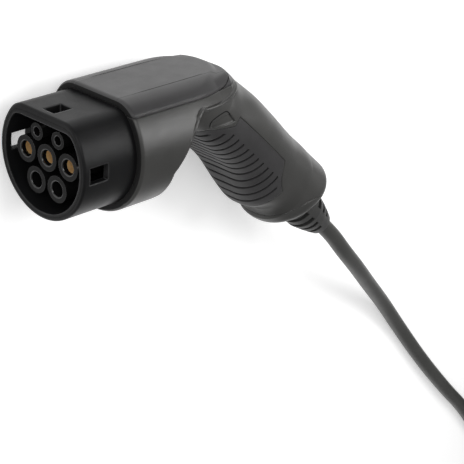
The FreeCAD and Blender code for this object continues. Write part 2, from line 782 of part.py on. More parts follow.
retainer_holes = screw_holes + screw_seats
for label, (y, z) in POWER.items():
    contact(label, "power_recess", "power_bore", "power_bore_depth", "power_outer", "wire_radius", y, z)
    retainer_holes.append(rod("pass_" + label, "wire_radius + jacket_gap + crimp_wall + part_gap", "60", "cavity_floor", y, z))
for label, (y, z) in SIGNAL.items():
    contact(label, "signal_recess", "signal_bore", "signal_bore_depth", "signal_outer", "pilot_wire_radius", y, z)
    retainer_holes.append(rod("pass_" + label, "pilot_wire_radius + jacket_gap + crimp_wall + part_gap", "60",
                              "cavity_floor", y, z))
retainer_stock = stack_prism("retainer_stock", CARRIER_BACK, RETAINER_BACK)
contact_retainer = piece(cut("contact_retainer", retainer_stock, retainer_holes), "contact_retainer")
for label in SCREWS:
    y, z = screw_spot(label)
    shank = "%s - screw_head_height - (%s) - 0.6" % (RETAINER_BACK, FLANGE_FRONT)
    end = "%s - (%s) - 0.6" % (RETAINER_BACK, FLANGE_FRONT)
    piece(turned("face_screw_" + label, [
        ("0", "0"), ("0", "screw_radius"), (shank, "screw_radius"), (shank, "screw_head_radius"),
        (end, "screw_head_radius"), (end, "0"),
    ], FLANGE_FRONT + " + 0.6", y, z), "face_screw_" + label)

# strain relief boot, clamp plate and its screws
boot_stock = turned("boot_stock", [
    ("0", "cable_diameter / 2 + jacket_gap"),
    ("0", "boot_flange_radius"),
    ("boot_flange", "boot_flange_radius"),
    ("boot_flange", "boot_neck_radius"),
    ("boot_shoulder - handle_room_end + boot_flange + 0.1", "boot_neck_radius"),
    ("boot_shoulder - handle_room_end + boot_flange + 0.1", "boot_root_radius"),
    ("boot_tip - handle_room_end + boot_flange - 19", "boot_root_radius - 0.3"),
    ("boot_tip - handle_room_end + boot_flange - 11", "boot_root_radius - 1.9"),
    ("boot_tip - handle_room_end + boot_flange - 5", "boot_root_radius - 3.4"),
    ("boot_tip - handle_room_end + boot_flange - 1.2", "boot_tip_radius + 0.8"),
    ("boot_tip - handle_room_end + boot_flange", "boot_tip_radius - 0.4"),
    ("boot_tip - handle_room_end + boot_flange", "cable_diameter / 2 + jacket_gap"),
], "handle_room_end - boot_flange", "exit_depth", "0", True)
boot_slots = []
for number in range(int(size("boot_slot_count"))):
    boot_slots.append(ring("boot_slot_%d" % (number + 1), "boot_slot_floor", "boot_root_radius + 3", "boot_slot_width",
                           "boot_slot_start + %d * boot_slot_pitch" % number, "exit_depth", "0", True))
spine = DOC.addObject("Part::Box", "boot_spines")
set_in_handle(spine, "boot_slot_start - 5", "exit_depth + boot_spine", "-40")
bind(spine, {"Length": "60", "Width": "2 * boot_spine", "Height": "80"})
boot_cuts = cut("boot_cuts", fuse("boot_rings", boot_slots), [spine])
strain_relief = piece(cut("strain_relief", boot_stock, [boot_cuts] + clamp_holes), "strain_relief")
clamp_stock = ring("clamp_stock", "cable_diameter / 2 + jacket_gap", "clamp_radius", "clamp_thickness",
                   "handle_room_end - boot_flange - clamp_thickness", "exit_depth", "0", True)
clamp_plate = piece(cut("clamp_plate", clamp_stock, clamp_holes), "clamp_plate")
clamp_screws = []
for label, side in (("far", "-clamp_screw_offset"), ("near", "clamp_screw_offset")):
    start = "handle_room_end - boot_flange - clamp_thickness - screw_head_height"
    clamp_screws.append(piece(turned("clamp_screw_" + label, [
        ("0", "0"), ("0", "screw_head_radius"), ("screw_head_height", "screw_head_radius"),
        ("screw_head_height", "screw_radius"), ("screw_head_height + clamp_screw_length", "screw_radius"),
        ("screw_head_height + clamp_screw_length", "0"),
    ], start, "exit_depth", side, True), "clamp_screw_" + label))
cable_inner_end = piece(rod("cable_inner_end", "cable_diameter / 2", "boot_tip - jacket_start", "jacket_start",
                            "exit_depth", "0", True), "cable_inner_end")


# wires and cable: straight runs joined by tangent arcs
def tube_path(points, least=0.0, report=False):
    """Straight runs between the points, each corner rounded as far as its two runs allow."""
    edges = []
    here = points[0]
    for index in range(1, len(points) - 1):
        spot = points[index]
        before = spot.sub(points[index - 1])
        after = points[index + 1].sub(spot)
        run_in = Vector(before).normalize()
        run_out = Vector(after).normalize()
        turn = run_in.getAngle(run_out)
        trim = 0.45 * min(before.Length, after.Length)
        bend = trim / math.tan(turn / 2)
        first = spot.sub(run_in * trim)
        last = spot.add(run_out * trim)
        inward = run_out.sub(run_in).normalize()
        middle = spot.add(inward * (bend / math.cos(turn / 2) - bend))
        edges.append(Part.LineSegment(here, first).toShape())
        edges.append(Part.Arc(first, middle, last).toShape())
        here = last
        if report:
            print("bend %d: turn %.1f degrees, radius %.0f mm" % (index, math.degrees(turn), bend))
    edges.append(Part.LineSegment(here, points[-1]).toShape())
    return Part.Wire(edges)


def tube(points, radius, report=False):
    """A round tube along a path through the points."""
    path = tube_path(points, report=report)
    along = points[1].sub(points[0]).normalize()
    end = Part.Wire(Part.makeCircle(radius, points[0], along))
    shape = path.makePipeShell([end], True, True)
    if report:
        print("tube volume %.1f, section times length %.1f, length %.1f" % (
            shape.Volume, math.pi * radius * radius * path.Length, path.Length))
    return shape


def in_handle(station, depth, across=0.0):
    """A world point given in the handle's frame."""
    return handle_frame().multVec(Vector(station, -depth, across))


WIRES = {
    "line": (POWER, "wire_radius", -1.3, -2.25),
    "earth": (POWER, "wire_radius", 2.6, 0.0),
    "neutral": (POWER, "wire_radius", -1.3, 2.25),
    "pilot": (SIGNAL, "pilot_wire_radius", 0.0, 0.0),
}
crimp_end = value(RETAINER_BACK + " + crimp_length")
exit_depth = size("exit_depth")
jacket_start = size("jacket_start")
for label, (table, radius, depth, across) in WIRES.items():
    y = value(table[label][0])
    z = value(table[label][1])
    route = [
        Vector(crimp_end - size("crimp_length") + 1.5, y, z),
        Vector(crimp_end + 9, y, z),
        Vector(crimp_end + size("wire_gather"), size("wire_lift") + 0.4 * y, 0.5 * z),
        in_handle(size("wire_root"), exit_depth + depth - 2.0 - 0.12 * y, across + 0.1 * z),
        in_handle(jacket_start - 14, exit_depth + depth, across),
        in_handle(jacket_start, exit_depth + depth, across),
    ]
    piece(solid("wire_" + label, tube(route, size(radius))), "wire_" + label)

tip = in_handle(size("boot_tip"), exit_depth)
leave = in_handle(size("boot_tip") + 1.5 * size("cable_diameter"), exit_depth)
route = [tip, leave] + [Vector(*point) for point in ROUTE]
cable = piece(solid("cable", tube(route, size("cable_diameter") / 2, True)), "cable")

# stored cable: a coil of several layers, with a straight lead at each end
route_end = route[-1]
heading = route_end.sub(route[-2])
heading.z = 0
heading.normalize()
sideways = Vector(-heading.y, heading.x, 0)
cable_radius = size("cable_diameter") / 2
outer_turn = size("coil_radius") + size("coil_width") / 2 - cable_radius
touch = route_end.add(heading * size("coil_lead"))
floor = -size("collar_radius")
coil_centre = touch.add(sideways * outer_turn)
coil_centre.z = floor
coil_height = cable_radius - floor


def coil_section(inset):
    """The bundle's upright section on the coil's own +X side."""
    inner = size("coil_radius") - size("coil_width") / 2 + inset
    wide = size("coil_width") - 2 * inset
    high = coil_height - 2 * inset
    outline = Part.makePolygon([Vector(x, 0, z) for x, z in (
        (inner, inset), (inner + wide, inset), (inner + wide, inset + high), (inner, inset + high), (inner, inset))])
    block_shape = Part.Face(outline).extrude(Vector(0, 1, 0))
    uprights = [edge for edge in block_shape.Edges if abs(edge.tangentAt(edge.FirstParameter).y) > 0.99]
    rounded = block_shape.makeFillet(size("coil_round") - inset, uprights)
    return [face for face in rounded.Faces if face.CenterOfMass.y < 0.001 and face.normalAt(0, 0).y < -0.99][0]


coil_ring = coil_section(0).revolve(Vector(0, 0, 0), Vector(0, 0, 1), 360)
coil_ring.translate(coil_centre)
coil_core = coil_section(size("tie_thickness")).revolve(Vector(0, 0, 0), Vector(0, 0, 1), 360)
coil_core.translate(coil_centre)
lead_in = Part.makeCylinder(cable_radius, size("coil_lead"), route_end, heading)
plug_touch = coil_centre.add(Vector(outer_turn, 0, -floor))
plug_tip = plug_touch.add(Vector(0, size("plug_lead"), 0))
lead_out = Part.makeCylinder(cable_radius, size("plug_lead"), plug_touch, Vector(0, 1, 0))
tie_box = Part.makeBox(size("coil_width") + 4, size("tie_width"), coil_height + 4)
tie_box.translate(coil_centre.add(Vector(-size("coil_radius") - size("coil_width") / 2 - 2, -size("tie_width") / 2, -2)))
tie_shape = coil_ring.cut(coil_core).common(tie_box)
coil_tie = piece(solid("coil_tie", tie_shape), "coil_tie")
coil_shape = coil_ring.fuse([lead_in, lead_out]).cut(tie_shape)
cable_coil = piece(solid("cable_coil", coil_shape), "cable_coil")

# the plug at the far end: the same handle mouldings, with pins in the nose
boot_heading = -90 + value("handle_angle")
plug_turn = Rotation(Vector(0, 0, 1), boot_heading)
plug_frame = Placement(plug_tip.sub(plug_turn.multVec(in_handle(size("boot_tip"), exit_depth))), plug_turn)


def at_plug(item, node):
    """The same moulding again, on the plug."""
    copy = solid(node, item.Shape.copy())
    copy.Placement = plug_frame.multiply(item.Shape.Placement)
    return piece(copy, node)


pin_stock = [stack_prism("pin_plate", FLANGE_BACK, RETAINER_BACK), carrier_base]
pin_holes = []
PINS = []
for table, pin, end, clear in (
    (POWER, "power_bore", "pin_tip", "wire_radius"),
    (SIGNAL, "signal_bore", "signal_pin_tip", "pilot_wire_radius"),
):
    for label, (y, z) in table.items():
        pin_stock.append(rod("boss_" + label, pin + " + 2 * pin_collar", "4", "cavity_floor - 3", y, z))
        pin_holes.append(rod("pin_hole_" + label, pin + " + part_gap", "60", "0", y, z))
        pin_holes.append(rod("pin_seat_" + label, pin + " + pin_collar + part_gap", "contact_flange + 1",
                             RETAINER_BACK + " - contact_flange", y, z))
        long_side = RETAINER_BACK + " - " + end
        PINS.append((label, turned("pin_" + label, [
            ("0", "0"),
            ("0", pin + " - 0.6"),
            ("0.6", pin),
            (long_side + " - contact_flange", pin),
            (long_side + " - contact_flange", pin + " + pin_collar"),
            (long_side, pin + " + pin_collar"),
            (long_side, "0"),
        ], end, y, z)))
pin_block = cut("pin_block", fuse("pin_block_stock", pin_stock), pin_holes)
DOC.recompute()
for item, node in (
    (main_housing, "plug_housing"),
    (top_cover, "plug_cover"),
    (grip_insert, "plug_grip"),
    (end_cap, "plug_end_cap"),
    (strain_relief, "plug_strain_relief"),
    (clamp_plate, "plug_clamp_plate"),
    (clamp_screws[0], "plug_clamp_screw_far"),
    (clamp_screws[1], "plug_clamp_screw_near"),
    (cable_inner_end, "plug_cable_end"),
    (shroud, "plug_shroud"),
    (face_gasket, "plug_gasket"),
    (pin_block, "plug_pin_block"),
):
    at_plug(item, node)
for label, pin in PINS:
    at_plug(pin, "plug_pin_" + label)

DOC.recompute()
faults = [item.Name for item in DOC.Objects if "Invalid" in item.State or "Error" in item.State]
for item in NODES:
    if item.Shape.isNull() or not item.Shape.isValid() or len(item.Shape.Solids) != 1:
        faults.append(item.Label)
if faults:
    raise RuntimeError("these did not build: " + ", ".join(sorted(faults)))

os.makedirs("parts", exist_ok=True)
for item in NODES:
    item.Shape.exportStep("parts/%s.step" % item.Label)
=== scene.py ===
import json
import math

import bmesh
import bpy
from mathutils import Matrix, Vector
from mathutils.bvhtree import BVHTree


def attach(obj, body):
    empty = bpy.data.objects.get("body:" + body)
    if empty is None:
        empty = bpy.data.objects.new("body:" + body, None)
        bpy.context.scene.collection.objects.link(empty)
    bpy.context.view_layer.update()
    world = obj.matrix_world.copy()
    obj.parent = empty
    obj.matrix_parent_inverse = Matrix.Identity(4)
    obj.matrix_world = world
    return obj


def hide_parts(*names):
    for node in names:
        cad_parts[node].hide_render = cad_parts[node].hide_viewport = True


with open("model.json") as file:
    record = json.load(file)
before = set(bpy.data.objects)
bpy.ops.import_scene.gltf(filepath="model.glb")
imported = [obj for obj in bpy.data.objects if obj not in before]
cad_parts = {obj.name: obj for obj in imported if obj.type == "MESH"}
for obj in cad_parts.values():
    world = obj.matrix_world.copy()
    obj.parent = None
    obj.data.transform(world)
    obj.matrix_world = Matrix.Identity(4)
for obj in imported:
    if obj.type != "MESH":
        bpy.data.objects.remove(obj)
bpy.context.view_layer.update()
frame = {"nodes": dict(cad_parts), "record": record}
nodes = frame["nodes"]
scene = bpy.context.scene
scene.view_settings.view_transform = "Standard"

# Lengths are in metres in the frame of the CAD, unless a comment says millimetres.

# camera, fitted to the photograph
SENSOR_WIDTH = 36.0
FOCAL_LENGTH = 127.52
CAMERA_PLACE = (-0.42848, 0.27714, 0.50599)
CAMERA_RIGHT = (0.69281, 0.05677, 0.71888)
CAMERA_UP = (0.26857, 0.90486, -0.33029)
CAMERA_BACK = (-0.66924, 0.42190, 0.61166)

# noise patterns: scale per metre, and detail
WEAR_PATCHES = (130.0, 3.0)
CLOUDS = (28.0, 3.0)
SMUDGES = (140.0, 5.0)
GRAIN = (2600.0, 2.0)
DUST = (60.0, 6.0)
RUBBER_SMUDGES = (170.0, 4.0)
TARNISH = (240.0, 5.0)
TURNING_MARKS = (3200.0, 2.0)
MOTTLE = (500.0, 4.0)
NOISE_ROUGHNESS = 0.55

# depths of the fine relief
GRAIN_DEPTH = 0.00012
PEBBLE_DEPTH = 0.0001
MARK_DEPTH = 0.00005
WEAVE_DEPTH = 0.0003
PANEL_HEIGHT = 0.00012
PANEL_EDGE = 0.0003
TOP_PANEL_HALF_WIDTH = 0.01383

# worn edges, rubbed wear that on the shroud is also painted highlight: an edge begins where the
# rounded normal leaves the face's own by this cosine
EDGE_BEGINS = 0.99
EDGE_FULL = 0.80
BEVEL_SAMPLES = 6
RUBBER_REACH = 0.0004
GLOSS_CHANGE = 0.07
RUBBER_GLOSS_CHANGE = 0.06
RUBBED_POLISH = -0.25

# faces that look out of the mating end, and how far back they count as the front, for the collar's
# painted shade and the contacts' dark tips
FRONT_NORMAL = -0.93
COLLAR_FACE = 0.0312
CONTACT_TIPS = 0.05
FRONT_DULLNESS = 0.5

# cable route from the boot tip to the coil
CABLE_RADIUS = 0.0045
CABLE_ROUTE = [
    (0.1936, -0.0864, 0.0),
    (0.2038, -0.0953, 0.0),
    (0.2175, -0.1106, -0.0009),
    (0.2370, -0.1289, -0.0053),
    (0.2620, -0.1514, -0.0145),
    (0.2880, -0.1750, -0.0225),
    (0.3140, -0.2030, -0.0273),
    (0.3431, -0.2374, -0.0273),
    (0.3760, -0.2725, -0.0273),
    (0.3961, -0.2920, -0.0273),
    (0.4141, -0.3134, -0.0273),
]
COIL_LEAD = 0.042
COIL_RADIUS = 0.054
COIL_LAYERS = 4
TURNS_IN_A_LAYER = 4
TURNS_TO_THE_LAST_WRAP = 3.6
POINTS_IN_A_TURN = 24
POINTS_TO_CLIMB = 7
PLUG_BEND = 0.012
PLUG_LEAD = 0.044
SPLINE_STEPS = 6
CABLE_FACETS = 5

# lines on the near side, each from its front end, in millimetres
SHOULDER_RIDGE = [
    (60.4, 2.6, 31.6), (62.7, 7.0, 31.0), (64.0, 9.5, 30.4), (66.3, 12.0, 29.4),
    (69.0, 13.5, 28.3), (72.6, 14.1, 27.1), (76.0, 14.1, 26.8), (79.9, 14.0, 26.5),
    (83.1, 14.0, 26.2), (86.6, 14.3, 25.7), (90.0, 14.9, 25.0), (93.4, 15.7, 23.8),
    (96.5, 16.5, 22.3), (99.4, 17.2, 20.4), (102.5, 17.8, 17.6), (104.6, 18.6, 13.6),
]
COVER_END_SEAM = [
    (84.0, 18.95, 23.0), (88.0, 19.1, 21.9), (92.1, 20.0, 20.7), (95.2, 21.0, 19.0),
    (97.2, 21.9, 17.4), (98.4, 22.6, 15.2), (100.2, 23.0, 12.0), (102.0, 22.8, 8.0),
    (103.2, 22.4, 4.0), (103.6, 22.2, 0.0),
]
COVER_CREASE = [
    (33.0, 25.2, 13.83), (45.0, 25.2, 13.83), (58.0, 25.2, 13.83), (70.0, 25.1, 13.8),
    (80.0, 24.8, 13.6), (88.0, 24.3, 13.0),
]
CLOSED_SEAM = [
    (89.8, 19.1, 21.6), (92.0, 19.1, 21.0), (94.0, 19.1, 20.4), (97.0, 19.1, 19.2),
    (99.8, 19.1, 17.6),
]
RECESS_EDGE = [
    (79.9, 1.4, 23.4), (78.9, 4.0, 24.4), (78.6, 6.2, 25.3), (79.5, 7.7, 26.0),
    (82.5, 9.1, 26.5), (86.7, 10.0, 26.3), (88.4, 9.6, 26.2), (90.0, 8.0, 26.0),
    (92.4, 5.1, 25.6),
]
# lines that both sides have: name, points, radius, lift, finish and slot
PAIRED_LINES = [
    ("shoulder_ridge", SHOULDER_RIDGE, 0.0012, -0.0005, "ridge_plastic", "grey_plastic"),
    ("closed_seam", CLOSED_SEAM, 0.00045, -0.0002, "ridge_plastic", "grey_plastic"),
    ("cover_crease", COVER_CREASE, 0.00012, -0.00003, "seam_shadow", "cover_plastic"),
    ("recess_edge", RECESS_EDGE, 0.0003, -0.0001, "seam_shadow", "grey_plastic"),
]
END_SEAM_RADIUS = 0.00022
END_SEAM_LIFT = -0.00004
LINE_STEPS = 8
LINE_FACETS = 3
PLACE_ROUNDS = 10
NORMAL_ROUNDS = 16
SINKING_SAMPLES = 6
END_THICKNESS = 0.4

# bores of the carrier's sleeves: place up and across, and radius, in millimetres
SLEEVE_BORES = [
    (0.0, -13.9, 4.1), (0.0, 0.0, 4.1), (0.0, 13.9, 4.1), (-12.6, -6.95, 4.1),
    (-12.6, 6.95, 4.1), (10.2, -6.95, 2.4), (10.2, 6.95, 2.4),
]
SLEEVE_FRONT = 2.9
LIP_IN_A_BORE = 0.16
POINTS_IN_A_RING = 48
POINTS_IN_THE_RIM = 3 * POINTS_IN_A_RING
RING_THICKNESS = 0.001
RING_FACETS = 4

# the step in the shroud's rim, and where the rim's walls are looked for
RIM_STEP_RADIUS = 0.00018
RIM_STEP_DEPTH = 0.6
RIM_STEP_SHARE = 0.45
RIM_MEASURED_AT = 0.0016
PAST_THE_RIM = 0.1

# floor, lamps and surroundings
FLOOR_HEIGHT = -0.0318
FLOOR_GAP = 0.0002
FLOOR_MIDDLE = (0.2, -0.1)
FLOOR_SIZE = 6.0
FLOOR_LIFT = 0.36
# name, place, point aimed at, width, and power in watts
LAMPS = [
    ("key", (-0.5, 0.9, 1.4), (0.1, 0.0, 0.0), 1.2, 8.0),
    ("front", (-0.95, 0.55, 0.75), (0.0, 0.0, 0.0), 0.5, 5.0),
    ("side", (0.36, 0.12, 0.40), (0.05, 0.01, 0.02), 0.24, 1.3),
    ("behind", (1.45, 0.05, 0.38), (0.15, -0.03, 0.0), 0.6, 0.5),
]
WORLD_STRENGTH = 0.38


# camera
def make_camera():
    """The camera at the photograph's place, looking down on the face from the front left."""
    data = bpy.data.cameras.new("camera")
    data.sensor_width = SENSOR_WIDTH
    data.lens = FOCAL_LENGTH
    camera = bpy.data.objects.new("camera", data)
    turn = Matrix((CAMERA_RIGHT, CAMERA_UP, CAMERA_BACK)).transposed().to_4x4()
    camera.matrix_world = Matrix.Translation(CAMERA_PLACE) @ turn
    scene.collection.objects.link(camera)
    scene.camera = camera


make_camera()


# materials
def grey(level):
    """A neutral tone."""
    return level, level, level


def new_material(name, roughness):
    """A material, its node tree, its shader and the place on the piece."""
    material = bpy.data.materials.new(name)
    material.use_nodes = True
    tree = material.node_tree
    shader = tree.nodes["Principled BSDF"]
    shader.inputs["Roughness"].default_value = roughness
    place = tree.nodes.new("ShaderNodeTexCoord").outputs["Object"]
    return material, tree, shader, place


def noise(tree, place, pattern):
    """A noise pattern on the piece's own place."""
    scale, detail = pattern
    texture = tree.nodes.new("ShaderNodeTexNoise")
    texture.inputs["Scale"].default_value = scale
    texture.inputs["Detail"].default_value = detail
    texture.inputs["Roughness"].default_value = NOISE_ROUGHNESS
    tree.links.new(place, texture.inputs["Vector"])
    return texture.outputs["Fac"]


def colour_between(tree, source, dark, pale, low=0.35, high=0.65):
    """A colour ramp from one tone to another along a pattern."""
    ramp = tree.nodes.new("ShaderNodeValToRGB")
    for element, position, tone in zip(ramp.color_ramp.elements, (low, high), (dark, pale)):
        element.position = position
        element.color = (*tone, 1.0)
    tree.links.new(source, ramp.inputs["Fac"])
    return ramp.outputs["Color"]


def range_of(tree, source, low, high, start=0.0, end=1.0, run="LINEAR"):
    """A value's way from start to end spread over low to high."""
    spread = tree.nodes.new("ShaderNodeMapRange")
    spread.interpolation_type = run
    bounds = (("From Min", start), ("From Max", end), ("To Min", low), ("To Max", high))
    for bound, value in bounds:
        spread.inputs[bound].default_value = value
    tree.links.new(source, spread.inputs["Value"])
    return spread.outputs["Result"]


def reckoned(tree, operation, *terms):
    """One step of arithmetic on sockets and plain numbers."""
    step = tree.nodes.new("ShaderNodeMath")
    step.operation = operation
    for entry, term in zip(step.inputs, terms):
        if isinstance(term, float):
            entry.default_value = term
        else:
            tree.links.new(term, entry)
    return step.outputs["Value"]


def coordinate(tree, source, axis):
    """One coordinate of a vector."""
    split = tree.nodes.new("ShaderNodeSeparateXYZ")
    tree.links.new(source, split.inputs["Vector"])
    return split.outputs[axis]


def bump(tree, source, strength, distance, below=None):
    """A bump from a pattern, on top of other normals if there are any."""
    relief = tree.nodes.new("ShaderNodeBump")
    relief.inputs["Strength"].default_value = strength
    relief.inputs["Distance"].default_value = distance
    tree.links.new(source, relief.inputs["Height"])
    if below is not None:
        tree.links.new(below, relief.inputs["Normal"])
    return relief.outputs["Normal"]


def softened(tree, reach):
    """Normals rounded over the edges by a reach."""
    rounded = tree.nodes.new("ShaderNodeBevel")
    rounded.samples = BEVEL_SAMPLES
    rounded.inputs["Radius"].default_value = reach
    return rounded.outputs["Normal"]


def edge_wear_and_highlight(tree, place, reach):
    """Normals rounded over the edges, and how much each spot is a paler edge: rubbed wear, and on
    the shroud also painted highlight.
    """
    rounded = softened(tree, reach)
    surface = tree.nodes.new("ShaderNodeNewGeometry")
    likeness = tree.nodes.new("ShaderNodeVectorMath")
    likeness.operation = "DOT_PRODUCT"
    tree.links.new(rounded, likeness.inputs[0])
    tree.links.new(surface.outputs["Normal"], likeness.inputs[1])
    edge = range_of(tree, likeness.outputs["Value"], 0.0, 1.0, EDGE_BEGINS, EDGE_FULL)
    return rounded, reckoned(tree, "MULTIPLY", edge, noise(tree, place, WEAR_PATCHES))


def mixed(tree, share, first, second):
    """A colour socket and a plain tone mixed by a share."""
    blend = tree.nodes.new("ShaderNodeMix")
    blend.data_type = "RGBA"
    tree.links.new(share, blend.inputs["Factor"])
    tree.links.new(first, blend.inputs["A"])
    blend.inputs["B"].default_value = (*second, 1.0)
    return blend.outputs["Result"]


def faces_forward(tree, place, limit):
    """One where a face looks out of the mating end and lies before a limit, nought elsewhere."""
    surface = tree.nodes.new("ShaderNodeNewGeometry")
    normal = coordinate(tree, surface.outputs["Normal"], "X")
    facing = reckoned(tree, "LESS_THAN", normal, FRONT_NORMAL)
    before = reckoned(tree, "LESS_THAN", coordinate(tree, place, "X"), limit)
    return reckoned(tree, "MULTIPLY", facing, before)


def moulded_plastic(name, dark, pale, worn_and_highlight_tone, roughness=0.4, grain=0.25, reach=0.0005, shine=0.4,
                    painted_front_shade=None, softness=None):
    """Moulded plastic: a fine spark-eroded grain, soft clouding, changes of gloss, paler edges:
    rubbed wear, and on the shroud also painted highlight.

    Faces at the mating end, up to a given depth, are painted near black as the shroud's shade, and
    made matt. The normals are rounded over the edges by softness, or else by the reach of the
    wear.
    """
    material, tree, shader, place = new_material(name, roughness)
    shader.inputs["Specular IOR Level"].default_value = shine
    base = colour_between(tree, noise(tree, place, CLOUDS), dark, pale)
    rounded, wear_highlight_share = edge_wear_and_highlight(tree, place, reach)
    smudges = noise(tree, place, SMUDGES)
    gloss = range_of(tree, smudges, roughness - GLOSS_CHANGE, roughness + GLOSS_CHANGE)
    dullness = reckoned(tree, "MULTIPLY_ADD", wear_highlight_share, RUBBED_POLISH, gloss)
    # painted shade: forward faces are darkened where the shroud shades the collar
    if painted_front_shade is not None:
        front = faces_forward(tree, place, painted_front_shade)
        base = mixed(tree, front, base, grey(0.003))
        dullness = reckoned(tree, "MULTIPLY_ADD", front, FRONT_DULLNESS, dullness)
    if softness is not None:
        rounded = softened(tree, softness)
    relief = bump(tree, noise(tree, place, GRAIN), grain, GRAIN_DEPTH, rounded)
    tree.links.new(mixed(tree, wear_highlight_share, base, worn_and_highlight_tone), shader.inputs["Base Color"])
    tree.links.new(dullness, shader.inputs["Roughness"])
    tree.links.new(relief, shader.inputs["Normal"])
    return material


def raised_panel(material, half_width, height):
    """A barely raised panel along the middle, its two edges parallel to the mating axis."""
    tree = material.node_tree
    place = [node for node in tree.nodes if node.type == "TEX_COORD"][0].outputs["Object"]
    relief = [node for node in tree.nodes if node.type == "BUMP"][0]
    aside = reckoned(tree, "ABSOLUTE", coordinate(tree, place, "Z"))
    outside, inside = half_width + PANEL_EDGE, half_width - PANEL_EDGE
    panel = range_of(tree, aside, 0.0, 1.0, outside, inside, "SMOOTHSTEP")
    below = relief.inputs["Normal"].links[0].from_socket
    tree.links.new(bump(tree, panel, 1.0, height, below), relief.inputs["Normal"])


def soft_rubber(name, dark, pale, worn_and_highlight_tone, roughness, grain=0.35, shine=0.35):
    """Soft rubber: dull, a little dusty, with a leathery pebble and paler edges."""
    material, tree, shader, place = new_material(name, roughness)
    shader.inputs["Specular IOR Level"].default_value = shine
    shader.inputs["Sheen Weight"].default_value = 0.05
    shader.inputs["Sheen Roughness"].default_value = 0.5
    base = colour_between(tree, noise(tree, place, DUST), dark, pale, 0.3, 0.7)
    rounded, wear_highlight_share = edge_wear_and_highlight(tree, place, RUBBER_REACH)
    smudges = noise(tree, place, RUBBER_SMUDGES)
    gloss = range_of(tree, smudges, roughness - RUBBER_GLOSS_CHANGE,
                     roughness + RUBBER_GLOSS_CHANGE)
    pebble = tree.nodes.new("ShaderNodeTexVoronoi")
    pebble.inputs["Scale"].default_value = 1500.0
    tree.links.new(place, pebble.inputs["Vector"])
    relief = bump(tree, pebble.outputs["Distance"], grain, PEBBLE_DEPTH, rounded)
    tree.links.new(mixed(tree, wear_highlight_share, base, worn_and_highlight_tone), shader.inputs["Base Color"])
    tree.links.new(gloss, shader.inputs["Roughness"])
    tree.links.new(relief, shader.inputs["Normal"])
    return material


def gold_plate(name):
    """Gold plating on turned brass, with faint turning marks, tarnish and dark tips."""
    material, tree, shader, place = new_material(name, 0.5)
    shader.inputs["Metallic"].default_value = 0.8
    tarnish = noise(tree, place, TARNISH)
    base = colour_between(tree, tarnish, (0.78, 0.56, 0.28), (1.0, 0.80, 0.46), 0.25, 0.7)
    tipped = mixed(tree, faces_forward(tree, place, CONTACT_TIPS), base, grey(0.01))
    tree.links.new(tipped, shader.inputs["Base Color"])
    relief = bump(tree, noise(tree, place, TURNING_MARKS), 0.12, MARK_DEPTH)
    tree.links.new(relief, shader.inputs["Normal"])
    return material


def plated_steel(name):
    """Zinc-plated steel, softly mottled."""
    material, tree, shader, place = new_material(name, 0.32)
    shader.inputs["Metallic"].default_value = 1.0
    mottle = noise(tree, place, MOTTLE)
    base = colour_between(tree, mottle, (0.42, 0.42, 0.43), (0.66, 0.66, 0.67))
    tree.links.new(base, shader.inputs["Base Color"])
    return material


def woven_strap(name):
    """A woven strap: two crossed sets of threads."""
    material, tree, shader, place = new_material(name, 0.85)
    shader.inputs["Sheen Weight"].default_value = 0.3
    threads = []
    for axis in ("X", "Z"):
        wave = tree.nodes.new("ShaderNodeTexWave")
        wave.bands_direction = axis
        wave.inputs["Scale"].default_value = 320.0
        wave.inputs["Distortion"].default_value = 0.4
        tree.links.new(place, wave.inputs["Vector"])
        threads.append(wave.outputs["Fac"])
    weave = reckoned(tree, "MAXIMUM", *threads)
    base = colour_between(tree, weave, grey(0.008), (0.04, 0.04, 0.042), 0.2, 0.9)
    tree.links.new(base, shader.inputs["Base Color"])
    tree.links.new(bump(tree, weave, 0.6, WEAVE_DEPTH), shader.inputs["Normal"])
    return material


